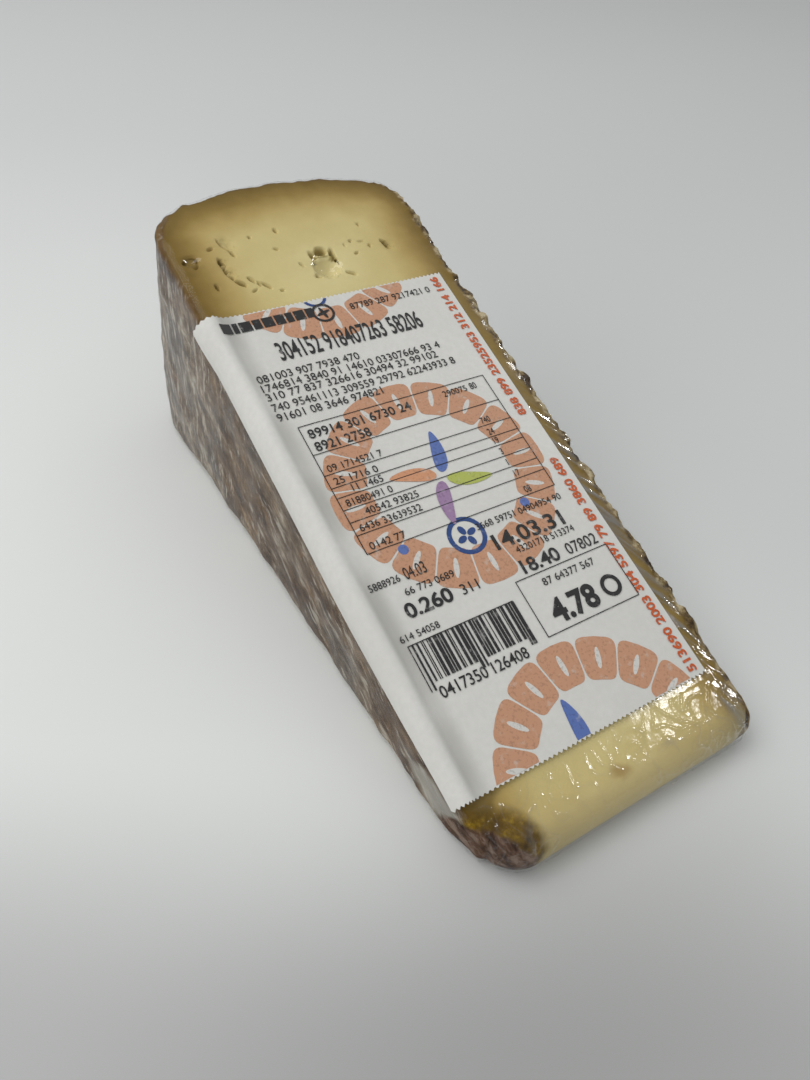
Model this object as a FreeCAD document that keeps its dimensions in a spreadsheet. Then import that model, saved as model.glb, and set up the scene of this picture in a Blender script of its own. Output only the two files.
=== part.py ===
# A portion of tomme cheese, cut from a wheel and wrapped tight in clear film, with a price label.
# The portion lies on one cut face. The other cut face slopes down from the rim to the blunt tip,
# and the label is stuck along it and folded over the left crease onto the rind.
# Frame: +Z up, +Y from the tip to the rim, X along the wheel's axis, origin under the middle.
import FreeCAD, Part
import math
import os
import Sketcher

doc = FreeCAD.newDocument("WrappedCheeseWedge")

# ---------------------------------------------------------------- driving dimensions (mm, degrees)
sizes = [
    ("wheelRadius", 160.5),     # from the wheel's axis to the crown of the rim
    ("wheelHeight", 57.0),      # rind to rind, along the wheel's axis
    ("wedgeAngle", 19.75),      # between the two cut faces
    ("tipReach", 19.0),         # from the wheel's axis to the blunt front of the portion
    ("crownRadius", 74.0),      # the rim bulges outwards between its shoulders
    ("shoulderLeft", 10.5),     # rounding from the left rind into the rim
    ("shoulderRight", 8.5),     # rounding from the right rind into the rim
    ("noseRound", 6.0),         # the upper cut face rolls over into the front
    ("footRound", 2.6),         # the front rolls under to the base
    ("creaseRound", 2.0),       # the film rounds every cut edge
    ("labelStart", 31.0),       # from the wheel's axis to the label's lower end, along the slope
    ("labelLength", 95.8),
    ("labelMargin", 4.9),       # bare strip between the label and the right rind
    ("labelFold", 1.2),         # what hangs down the left rind, below the rounded crease
    ("labelPaper", 0.15),
    ("labelGap", 0.05),         # between the film and the paper
    ("toothPitch", 0.95),       # the label's ends are cut off by a serrated knife
    ("toothDepth", 0.5),
    ("toothShare", 0.85),       # notch width over pitch, the rest is the tooth's flat tip
]

# the openings in the paste where the film sinks in: place across from the middle and back from the
# rim's crown, then length along the wheel's axis, length along the slope, depth, and turn
eyes = [
    ("cavity", 1.4, 26.0, 5.2, 5.6, 2.2, 0.0),
    ("slit", -18.0, 22.6, 1.5, 9.4, 1.3, 18.0),
    ("nick", 16.9, 23.4, 1.7, 3.0, 1.2, 10.0),
    ("gash", -15.7, 15.4, 1.8, 4.6, 1.2, 30.0),
    ("corner", -24.4, 18.4, 3.4, 2.4, 1.2, 0.0),
]

sheet = doc.addObject("Spreadsheet::Sheet", "Sizes")
for row, (alias, value) in enumerate(sizes, start=1):
    sheet.set("A%d" % row, alias)
    sheet.set("B%d" % row, str(value))
    sheet.setAlias("B%d" % row, alias)
eyeFields = ("Across", "Back", "Wide", "Long", "Deep", "Turn")
row = len(sizes) + 1
for eye in eyes:
    for field, value in zip(eyeFields, eye[1:]):
        sheet.set("A%d" % row, eye[0] + field)
        sheet.set("B%d" % row, str(value))
        sheet.setAlias("B%d" % row, eye[0] + field)
        row += 1
doc.recompute()


def size(alias):
    return float(sheet.get(alias))


def cell(text):
    """An expression in which each $name is a cell of the sheet."""
    return text.replace("$", "Sizes.")


def originPlane(body, role):
    return [item for item in body.Origin.OriginFeatures if item.Role == role][0]


def newSketch(body, name, role, offset=None):
    sketch = body.newObject("Sketcher::SketchObject", name)
    sketch.AttachmentSupport = [(originPlane(body, role), "")]
    sketch.MapMode = "FlatFace"
    for path, text in (offset or {}).items():
        sketch.setExpression("AttachmentOffset." + path, cell(text))
    return sketch


def bind(sketch, name, kind, *where):
    """Add a sketch dimension; its last item is an expression, and it starts at the drawn value."""
    *targets, text = where
    start = float(sketch.evalExpression(cell(text)))
    index = sketch.addConstraint(Sketcher.Constraint(kind, *targets, start))
    sketch.renameConstraint(index, name)
    sketch.setExpression("Constraints." + name, cell(text))


def edgesWhere(feature, test):
    return ["Edge%d" % (i + 1) for i, edge in enumerate(feature.Shape.Edges) if test(edge)]


def roundEdges(body, name, base, test, radius):
    fillet = body.newObject("PartDesign::Fillet", name)
    fillet.Base = (base, edgesWhere(base, test))
    fillet.setExpression("Radius", cell(radius))
    doc.recompute()
    return fillet


def turned(shape, edge):
    """The angle in degrees between the two faces that meet at the middle of an edge."""
    middle = edge.valueAt((edge.FirstParameter + edge.LastParameter) / 2)
    normals = []
    for face in shape.ancestorsOfType(edge, Part.Face):
        u, v = face.Surface.parameter(middle)
        normals.append(face.normalAt(u, v))
    return math.degrees(normals[0].getAngle(normals[-1]))


# ---------------------------------------------------------------- the wrapped wedge
wedge = doc.addObject("PartDesign::Body", "wrapped_wedge")
wedge.Label = "wrapped_wedge"

# half of the wheel's section: flat rinds, two shoulders and the crowned rim
half = size("wheelHeight") / 2
crown = size("crownRadius")
left = size("shoulderLeft")
right = size("shoulderRight")
near = 0.8 * size("tipReach")
crownCentre = FreeCAD.Vector(0, size("wheelRadius") - crown, 0)
leftRise = math.sqrt((crown - left) ** 2 - (half - left) ** 2)
rightRise = math.sqrt((crown - right) ** 2 - (half - right) ** 2)
leftCentre = crownCentre + FreeCAD.Vector(left - half, leftRise, 0)
rightCentre = crownCentre + FreeCAD.Vector(half - right, rightRise, 0)
leftJoin = math.atan2(leftRise, left - half)
rightJoin = math.atan2(rightRise, half - right)
up = FreeCAD.Vector(0, 0, 1)

rim = newSketch(wedge, "WheelSection", "XY_Plane")
corner = FreeCAD.Vector(-half, near, 0)
farCorner = FreeCAD.Vector(half, near, 0)
axisSide = rim.addGeometry(Part.LineSegment(farCorner, corner))
leftRind = rim.addGeometry(Part.LineSegment(corner, leftCentre - FreeCAD.Vector(left, 0, 0)))
leftShoulder = rim.addGeometry(Part.ArcOfCircle(Part.Circle(leftCentre, up, left), leftJoin, math.pi))
crownArc = rim.addGeometry(Part.ArcOfCircle(Part.Circle(crownCentre, up, crown), rightJoin, leftJoin))
rightShoulder = rim.addGeometry(Part.ArcOfCircle(Part.Circle(rightCentre, up, right), 0, rightJoin))
rightRind = rim.addGeometry(Part.LineSegment(rightCentre + FreeCAD.Vector(right, 0, 0), farCorner))
for kind, *targets in (
    ("Coincident", axisSide, 2, leftRind, 1),
    ("Coincident", rightRind, 2, axisSide, 1),
    ("Tangent", leftRind, 2, leftShoulder, 2),
    ("Tangent", leftShoulder, 1, crownArc, 2),
    ("Tangent", crownArc, 1, rightShoulder, 2),
    ("Tangent", rightShoulder, 1, rightRind, 1),
    ("Horizontal", axisSide),
    ("Vertical", leftRind),
    ("Vertical", rightRind),
    ("PointOnObject", crownArc, 3, -2),
):
    rim.addConstraint(Sketcher.Constraint(kind, *targets))
bind(rim, "leftHalf", "DistanceX", leftRind, 1, -1, 1, "$wheelHeight / 2")
bind(rim, "rightHalf", "DistanceX", -1, 1, rightRind, 2, "$wheelHeight / 2")
bind(rim, "start", "DistanceY", -1, 1, axisSide, 1, "0.8 * $tipReach")
bind(rim, "crownPlace", "DistanceY", -1, 1, crownArc, 3, "$wheelRadius - $crownRadius")
bind(rim, "crownBend", "Radius", crownArc, "$crownRadius")
bind(rim, "leftBend", "Radius", leftShoulder, "$shoulderLeft")
bind(rim, "rightBend", "Radius", rightShoulder, "$shoulderRight")

wheel = wedge.newObject("PartDesign::Revolution", "WheelSector")
wheel.Profile = rim
wheel.ReferenceAxis = (rim, ["H_Axis"])
wheel.setExpression("Angle", cell("$wedgeAngle"))
doc.recompute()

# the thin end is cut off square, then rolled over at the top and under at the base
frontSketch = newSketch(wedge, "TipCutLine", "YZ_Plane")
reach = size("tipReach")
corners = [FreeCAD.Vector(x, y, 0) for x, y in ((0, -reach), (reach, -reach), (reach, reach), (0, reach))]
sides = [frontSketch.addGeometry(Part.LineSegment(corners[i - 1], corners[i])) for i in range(4)]
for i in range(4):
    frontSketch.addConstraint(Sketcher.Constraint("Coincident", sides[i - 1], 2, sides[i], 1))
    frontSketch.addConstraint(Sketcher.Constraint("Horizontal" if i % 2 else "Vertical", sides[i]))
bind(frontSketch, "reach", "DistanceX", -1, 1, sides[1], 2, "$tipReach")
bind(frontSketch, "above", "DistanceY", -1, 1, sides[2], 2, "$tipReach")
bind(frontSketch, "below", "DistanceY", sides[1], 2, -1, 1, "$tipReach")
frontSketch.addConstraint(Sketcher.Constraint("PointOnObject", sides[1], 1, -2))
tipCut = wedge.newObject("PartDesign::Pocket", "TipCut")
tipCut.Profile = frontSketch
tipCut.Type = "ThroughAll"
tipCut.Midplane = True
doc.recompute()

# the roll-over takes no more than its part of the low front, whatever the tip's reach
noseLimit = "0.6 * $tipReach * tan($wedgeAngle) / tan(45 - $wedgeAngle / 2)"
footLimit = "0.38 * $tipReach * tan($wedgeAngle)"


def onFront(edge, z):
    box = edge.BoundBox
    return box.YMax < reach + 0.01 and box.XLength > 1 and abs(box.Center.z - z) < 0.01


frontHeight = reach * math.tan(math.radians(size("wedgeAngle")))
nose = roundEdges(wedge, "NoseRound", tipCut, lambda edge: onFront(edge, frontHeight),
                  "min($noseRound; " + noseLimit + ")")
foot = roundEdges(wedge, "FootRound", nose, lambda edge: onFront(edge, 0),
                  "min($footRound; " + footLimit + ")")
crease = roundEdges(wedge, "CreaseRound", foot, lambda edge: turned(foot.Shape, edge) > 30,
                    "min($creaseRound; 0.8 * $footRound; 0.8 * " + footLimit + ")")

# the upper cut face, as a datum to place the openings on
cutFace = wedge.newObject("PartDesign::Plane", "CutFace")
cutFace.AttachmentSupport = [(originPlane(wedge, "XY_Plane"), "")]
cutFace.MapMode = "FlatFace"
cutFace.AttachmentOffset = FreeCAD.Placement(FreeCAD.Vector(), FreeCAD.Rotation(FreeCAD.Vector(1, 0, 0), 1))
cutFace.setExpression("AttachmentOffset.Rotation.Angle", cell("$wedgeAngle"))
doc.recompute()

for name, *_ in eyes:
    eye = wedge.newObject("PartDesign::SubtractiveEllipsoid", name.capitalize() + "Opening")
    eye.AttachmentSupport = [(cutFace, "")]
    eye.MapMode = "FlatFace"
    eye.AttachmentOffset = FreeCAD.Placement(FreeCAD.Vector(), FreeCAD.Rotation(up, 1))
    for path, text in (
        ("AttachmentOffset.Base.x", "$%sAcross"),
        ("AttachmentOffset.Base.y", "$wheelRadius - $%sBack"),
        ("AttachmentOffset.Rotation.Angle", "$%sTurn"),
        ("Radius1", "$%sDeep"),
        ("Radius2", "$%sWide / 2"),
        ("Radius3", "$%sLong / 2"),
    ):
        eye.setExpression(path, cell(text % name))
    doc.recompute()

# ---------------------------------------------------------------- the price label
# its own frame is turned so that XY is the upper cut face and Y runs up the slope
label = doc.addObject("PartDesign::Body", "price_label")
label.Label = "price_label"

gap = size("labelGap")
paper = size("labelPaper")
inner = crease.Radius.Value + gap
outer = inner + paper
foldX = inner - gap - half
foldZ = gap - inner
hang = foldZ - size("labelFold")
edgeX = half - size("labelMargin")
turnCentre = FreeCAD.Vector(foldX, foldZ, 0)

strip = newSketch(label, "LabelSection", "XZ_Plane", {"Base.z": "-$labelStart"})


def stripLine(x1, y1, x2, y2):
    return strip.addGeometry(Part.LineSegment(FreeCAD.Vector(x1, y1, 0), FreeCAD.Vector(x2, y2, 0)))


def stripArc(radius):
    circle = Part.Circle(turnCentre, up, radius)
    return strip.addGeometry(Part.ArcOfCircle(circle, math.pi / 2, math.pi))


topFace = stripLine(edgeX, gap + paper, foldX, gap + paper)
outerTurn = stripArc(outer)
hangOuter = stripLine(foldX - outer, foldZ, foldX - outer, hang)
hangEnd = stripLine(foldX - outer, hang, foldX - inner, hang)
hangInner = stripLine(foldX - inner, hang, foldX - inner, foldZ)
innerTurn = stripArc(inner)
underFace = stripLine(foldX, gap, edgeX, gap)
edgeFace = stripLine(edgeX, gap, edgeX, gap + paper)
for kind, *targets in (
    ("Tangent", topFace, 2, outerTurn, 1),
    ("Tangent", outerTurn, 2, hangOuter, 1),
    ("Coincident", hangOuter, 2, hangEnd, 1),
    ("Coincident", hangEnd, 2, hangInner, 1),
    ("Tangent", hangInner, 2, innerTurn, 2),
    ("Tangent", innerTurn, 1, underFace, 1),
    ("Coincident", underFace, 2, edgeFace, 1),
    ("Coincident", edgeFace, 2, topFace, 1),
    ("Coincident", outerTurn, 3, innerTurn, 3),
    ("Horizontal", topFace),
    ("Vertical", hangOuter),
    ("Horizontal", hangEnd),
    ("Vertical", edgeFace),
):
    strip.addConstraint(Sketcher.Constraint(kind, *targets))
bind(strip, "clear", "DistanceY", -1, 1, underFace, 2, "$labelGap")
bind(strip, "thick", "DistanceY", edgeFace, 1, edgeFace, 2, "$labelPaper")
bind(strip, "bend", "Radius", innerTurn, "CreaseRound.Radius / 1mm + $labelGap")
bind(strip, "margin", "DistanceX", -1, 1, underFace, 2, "$wheelHeight / 2 - $labelMargin")
bind(strip, "flank", "DistanceX", hangInner, 1, -1, 1, "$wheelHeight / 2 + $labelGap")
bind(strip, "fold", "DistanceY", hangInner, 1, hangInner, 2, "$labelFold")

sheetPad = label.newObject("PartDesign::Pad", "LabelSheet")
sheetPad.Profile = strip
sheetPad.Reversed = True
sheetPad.setExpression("Length", cell("$labelLength"))
doc.recompute()

# one notch at each end, repeated across the flat part of the sheet; each opens out past the end
toothPitch = size("toothPitch")
toothDepth = size("toothDepth")
overshoot = 0.1
mouth = toothPitch * size("toothShare") * (1 + overshoot) / 2
firstNotch = edgeX - toothPitch
notch = newSketch(label, "ToothNotch", "XY_Plane")
for end, place, side in (("Lower", "$labelStart", 1), ("Upper", "($labelStart + $labelLength)", -1)):
    endLine = float(notch.evalExpression(cell(place)))
    openY = endLine - side * overshoot * toothDepth
    apexY = endLine + side * toothDepth
    points = [FreeCAD.Vector(firstNotch - mouth, openY, 0), FreeCAD.Vector(firstNotch + mouth, openY, 0),
              FreeCAD.Vector(firstNotch, apexY, 0)]
    lines = [notch.addGeometry(Part.LineSegment(points[i], points[(i + 1) % 3])) for i in range(3)]
    for i in range(3):
        notch.addConstraint(Sketcher.Constraint("Coincident", lines[i], 2, lines[(i + 1) % 3], 1))
    notch.addConstraint(Sketcher.Constraint("Horizontal", lines[0]))
    first = "$wheelHeight / 2 - $labelMargin - $toothPitch"
    opening = "$toothPitch * $toothShare * %g" % (1 + overshoot)
    bind(notch, "apex" + end, "DistanceX", -1, 1, lines[2], 1, first)
    bind(notch, "mouth" + end, "DistanceX", lines[0], 1, lines[0], 2, opening)
    bind(notch, "middle" + end, "DistanceX", lines[0], 1, lines[2], 1, opening + " / 2")
    bind(notch, "tip" + end, "DistanceY", -1, 1, lines[2], 1, "%s + %d * $toothDepth" % (place, side))
    bind(notch, "open" + end, "DistanceY", -1, 1, lines[0], 1,
         "%s - %g * $toothDepth" % (place, side * overshoot))
notchCut = label.newObject("PartDesign::Pocket", "NotchCut")
notchCut.Profile = notch
notchCut.Type = "ThroughAll"
notchCut.Midplane = True
doc.recompute()

flatTeeth = "floor(($wheelHeight - $labelMargin - 2 * $creaseRound) / $toothPitch - 1)"
serration = label.newObject("PartDesign::LinearPattern", "Serration")
serration.Originals = [notchCut]
serration.Direction = (notch, ["H_Axis"])
serration.Reversed = True
serration.setExpression("Occurrences", cell(flatTeeth))
serration.setExpression("Length", cell("(" + flatTeeth + " - 1) * $toothPitch"))
label.Tip = serration
doc.recompute()

# ---------------------------------------------------------------- places, checks and files
middle = cell("-($wheelRadius + $tipReach) / 2")
label.Placement = FreeCAD.Placement(FreeCAD.Vector(), FreeCAD.Rotation(FreeCAD.Vector(1, 0, 0), 1))
label.setExpression("Placement.Rotation.Angle", cell("$wedgeAngle"))
for body in (wedge, label):
    body.setExpression("Placement.Base.y", middle)
doc.recompute()

for item in doc.Objects:
    if "Invalid" in item.State or "Error" in item.State:
        raise RuntimeError(item.Name + " failed: " + ", ".join(item.State))
for body in (wedge, label):
    shape = body.Shape
    if shape.isNull() or not shape.isValid() or len(shape.Solids) != 1:
        raise RuntimeError(body.Label + " is not one valid solid")

os.makedirs("parts", exist_ok=True)
for body in (wedge, label):
    body.Shape.exportStep("parts/%s.step" % body.Label)
    print("%s: %.1f cubic mm" % (body.Label, body.Shape.Volume))
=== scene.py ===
# A portion of tomme cheese in tight clear film, with a paper price label.
# Lengths are metres; mm turns the handier millimetres into them.
import math
import random
import bpy
from mathutils import Matrix, Vector, noise


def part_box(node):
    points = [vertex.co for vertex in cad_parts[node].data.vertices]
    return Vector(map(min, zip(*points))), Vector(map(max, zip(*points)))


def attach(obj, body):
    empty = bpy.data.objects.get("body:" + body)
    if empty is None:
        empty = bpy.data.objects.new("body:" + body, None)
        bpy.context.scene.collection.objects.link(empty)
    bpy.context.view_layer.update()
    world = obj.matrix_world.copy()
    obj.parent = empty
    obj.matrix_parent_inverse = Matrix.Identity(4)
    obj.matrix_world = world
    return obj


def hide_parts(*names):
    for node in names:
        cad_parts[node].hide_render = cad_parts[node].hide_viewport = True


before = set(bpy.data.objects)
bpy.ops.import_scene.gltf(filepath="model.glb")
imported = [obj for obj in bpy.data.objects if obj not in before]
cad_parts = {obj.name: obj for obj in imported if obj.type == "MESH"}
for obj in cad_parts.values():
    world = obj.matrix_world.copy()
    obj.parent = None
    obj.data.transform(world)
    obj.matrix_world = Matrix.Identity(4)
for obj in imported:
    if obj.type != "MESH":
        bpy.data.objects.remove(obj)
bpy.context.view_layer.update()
mm = 0.001

# the cut portion, as the solids have it
portion = {
    "node": "wrapped_wedge",
    "slope": math.radians(19.75),   # between the two cut faces
    "tipReach": 19.0 * mm,          # from the wheel's axis to the blunt front
    "wheelRadius": 160.5 * mm,
    "crownRadius": 74.0 * mm,
    "shoulder": 9.0 * mm,
}
wedgeLow, wedgeHigh = [Vector(corner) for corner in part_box(portion["node"])]
halfWidth = (wedgeHigh.x - wedgeLow.x) / 2
axisY = wedgeLow.y - portion["tipReach"]
slopeCos = math.cos(portion["slope"])
slopeSin = math.sin(portion["slope"])


# a place from its way across, its way up the slope and its height over the upper cut face
def onSlope(across, along, lift):
    return Vector((across, axisY + along * slopeCos - lift * slopeSin, along * slopeSin + lift * slopeCos))


# and back again
def offSlope(place):
    y = place.y - axisY
    return place.x, y * slopeCos + place.z * slopeSin, place.z * slopeCos - y * slopeSin


def smooth(low, high, value):
    t = min(max((value - low) / (high - low), 0.0), 1.0)
    return t * t * (3 - 2 * t)


# how deep a place lies under the rind, in the wheel's section
def rindDepth(place):
    reach = math.hypot(place.y - axisY, place.z)
    flank = halfWidth - abs(place.x)
    crown = portion["crownRadius"]
    rim = crown - math.hypot(place.x, reach - portion["wheelRadius"] + crown)
    bend = portion["shoulder"]
    if flank < bend and rim < bend:
        return bend - math.hypot(bend - flank, bend - rim)
    return min(flank, rim)


# a colour as a screen shows it, 0 to 255, as the shaders want it
def tone(*levels):
    shown = [level / 255 for level in levels]
    return (*[c / 12.92 if c <= 0.04045 else ((c + 0.055) / 1.055) ** 2.4 for c in shown], 1.0)


def deselectAll():
    if bpy.context.object and bpy.context.object.mode != "OBJECT":
        bpy.ops.object.mode_set(mode="OBJECT")
    bpy.ops.object.select_all(action="DESELECT")


def makeActive(piece):
    deselectAll()
    piece.select_set(True)
    bpy.context.view_layer.objects.active = piece


def applyModifiers(piece):
    makeActive(piece)
    for modifier in list(piece.modifiers):
        bpy.ops.object.modifier_apply(modifier=modifier.name)


# name a finished piece, give it its finish and tie it to the part
def settle(piece, name, material, replaced=None, angle=180):
    piece.name = name
    piece.data.name = name
    piece.data.materials.clear()
    piece.data.materials.append(material)
    makeActive(piece)
    bpy.ops.object.shade_smooth_by_angle(angle=math.radians(angle))
    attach(piece, "root")
    if replaced:
        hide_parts(replaced)
    print("made", name, len(piece.data.polygons), "faces")


# the solid's mesh with its loose triangles merged
def copyOfWedge(name):
    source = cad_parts[portion["node"]]
    piece = bpy.data.objects.new(name, source.data.copy())
    bpy.context.collection.objects.link(piece)
    makeActive(piece)
    bpy.ops.object.mode_set(mode="EDIT")
    bpy.ops.mesh.select_all(action="SELECT")
    bpy.ops.mesh.remove_doubles(threshold=0.002 * mm)
    bpy.ops.object.mode_set(mode="OBJECT")
    return piece


def remesh(piece, voxel):
    modifier = piece.modifiers.new("Remesh", "REMESH")
    modifier.mode = "VOXEL"
    modifier.voxel_size = voxel
    applyModifiers(piece)


# move every point along its normal by distance(place, normal)
def push(piece, distance):
    places = [(v.co.copy(), v.normal.copy()) for v in piece.data.vertices]
    for vertex, (place, normal) in zip(piece.data.vertices, places):
        vertex.co = place + normal * distance(place, normal)
    piece.data.update()


# subdivide the faces whose middle is chosen
def cutFiner(piece, cuts, chosen):
    makeActive(piece)
    bpy.ops.object.mode_set(mode="EDIT")
    bpy.ops.mesh.select_mode(type="FACE")
    bpy.ops.mesh.select_all(action="DESELECT")
    bpy.ops.object.mode_set(mode="OBJECT")
    for face in piece.data.polygons:
        face.select = chosen(face.center)
    bpy.ops.object.mode_set(mode="EDIT")
    bpy.ops.mesh.subdivide(number_cuts=cuts)
    bpy.ops.object.mode_set(mode="OBJECT")


# keep value(place) at every point, for the finish to follow
def storeValues(piece, name, value):
    kept = piece.data.attributes.new(name, "FLOAT", "POINT")
    kept.data.foreach_set("value", [value(vertex.co) for vertex in piece.data.vertices])


def newMaterial(name):
    material = bpy.data.materials.new(name)
    material.use_nodes = True
    tree = material.node_tree
    tree.nodes.clear()
    output = tree.nodes.new("ShaderNodeOutputMaterial")
    shader = tree.nodes.new("ShaderNodeBsdfPrincipled")
    tree.links.new(shader.outputs[0], output.inputs[0])
    return material, tree, shader


# add a node; an input is i and its number, or its name with _ for a space
def node(tree, kind, settings=None, **inputs):
    made = tree.nodes.new("ShaderNode" + kind)
    for key, value in (settings or {}).items():
        setattr(made, key, value)
    for key, value in inputs.items():
        numbered = key[0] == "i" and key[1:].isdigit()
        socket = made.inputs[int(key[1:]) if numbered else key.replace("_", " ")]
        if isinstance(value, bpy.types.NodeSocket):
            tree.links.new(value, socket)
        else:
            socket.default_value = value
    return made


def maths(tree, operation, first, second):
    return node(tree, "Math", {"operation": operation}, i0=first, i1=second).outputs[0]


def times(tree, first, second):
    return maths(tree, "MULTIPLY", first, second)


def multiplyAdd(tree, first, second, third, clamp=False):
    settings = {"operation": "MULTIPLY_ADD", "use_clamp": clamp}
    return node(tree, "Math", settings, i0=first, i1=second, i2=third).outputs[0]


# from 0 at low to 1 at high, with soft ends
def ranged(tree, value, low, high, fromZero=0.0, toOne=1.0):
    soft = {"interpolation_type": "SMOOTHSTEP"}
    ends = {"From_Min": low, "From_Max": high, "To_Min": fromZero, "To_Max": toOne}
    return node(tree, "MapRange", soft, Value=value, **ends).outputs[0]


def mixed(tree, factor, first, second, blend="MIX"):
    settings = {"data_type": "RGBA", "blend_type": blend}
    return node(tree, "Mix", settings, i0=factor, i6=first, i7=second).outputs[2]


def ramp(tree, factor, stops):
    made = node(tree, "ValToRGB", None, Fac=factor)
    band = made.color_ramp
    band.elements.remove(band.elements[1])
    band.elements[0].position, band.elements[0].color = stops[0]
    for place, colour in stops[1:]:
        band.elements.new(place).color = colour
    return made.outputs[0]


def noiseAt(tree, place, scale, detail=3.0, roughness=0.5, stretch=(1, 1, 1), shift=(0, 0, 0)):
    if stretch != (1, 1, 1) or shift != (0, 0, 0):
        place = node(tree, "Mapping", None, Vector=place, Location=shift, Scale=stretch).outputs[0]
    made = node(tree, "TexNoise", None, Vector=place, Scale=scale, Detail=detail, Roughness=roughness)
    return made.outputs[0]


# one coordinate of a place
def partOf(tree, place, axis):
    return node(tree, "SeparateXYZ", None, Vector=place).outputs[axis]


# what storeValues kept on the points
def stored(tree, name):
    return node(tree, "Attribute", {"attribute_name": name}).outputs["Fac"]


# the place turned about X, so that Y runs along a slanting grain
def turned(tree, place, degrees):
    made = node(tree, "VectorRotate", {"rotation_type": "X_AXIS"}, Vector=place, Angle=math.radians(-degrees))
    return made.outputs[0]


# an empty node group; takes lists its inputs as name, kind and value
def newGroup(name, takes, gives, kindGiven):
    group = bpy.data.node_groups.new(name, "ShaderNodeTree")
    for title, kind, value in takes:
        socket = group.interface.new_socket(title, in_out="INPUT", socket_type="NodeSocket" + kind)
        socket.default_value = value
    group.interface.new_socket(gives, in_out="OUTPUT", socket_type="NodeSocket" + kindGiven)
    return group, group.nodes.new("NodeGroupInput").outputs, group.nodes.new("NodeGroupOutput").inputs[0]


# a soft round patch: 1 inside an ellipsoid, falling to 0 at its skin
def makeRoundPatch():
    group, taken, mask = newGroup("roundPatch", [
        ("Place", "Vector", (0, 0, 0)), ("Centre", "Vector", (0, 0, 0)), ("Size", "Vector", (1, 1, 1)),
        ("Softness", "Float", 0.35),
    ], "Mask", "Float")
    moved = node(group, "VectorMath", {"operation": "SUBTRACT"}, i0=taken["Place"], i1=taken["Centre"])
    scaled = node(group, "VectorMath", {"operation": "DIVIDE"}, i0=moved.outputs[0], i1=taken["Size"])
    far = node(group, "VectorMath", {"operation": "LENGTH"}, i0=scaled.outputs[0]).outputs["Value"]
    solid = maths(group, "SUBTRACT", 1.0, taken["Softness"])
    group.links.new(ranged(group, far, 1.0, solid), mask)
    return group


roundPatch = makeRoundPatch()


def blob(tree, place, centre, size, softness=0.35):
    inputs = {"Place": place, "Centre": tuple(centre), "Size": tuple(size), "Softness": softness}
    return node(tree, "Group", {"node_tree": roundPatch}, **inputs).outputs[0]


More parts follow.
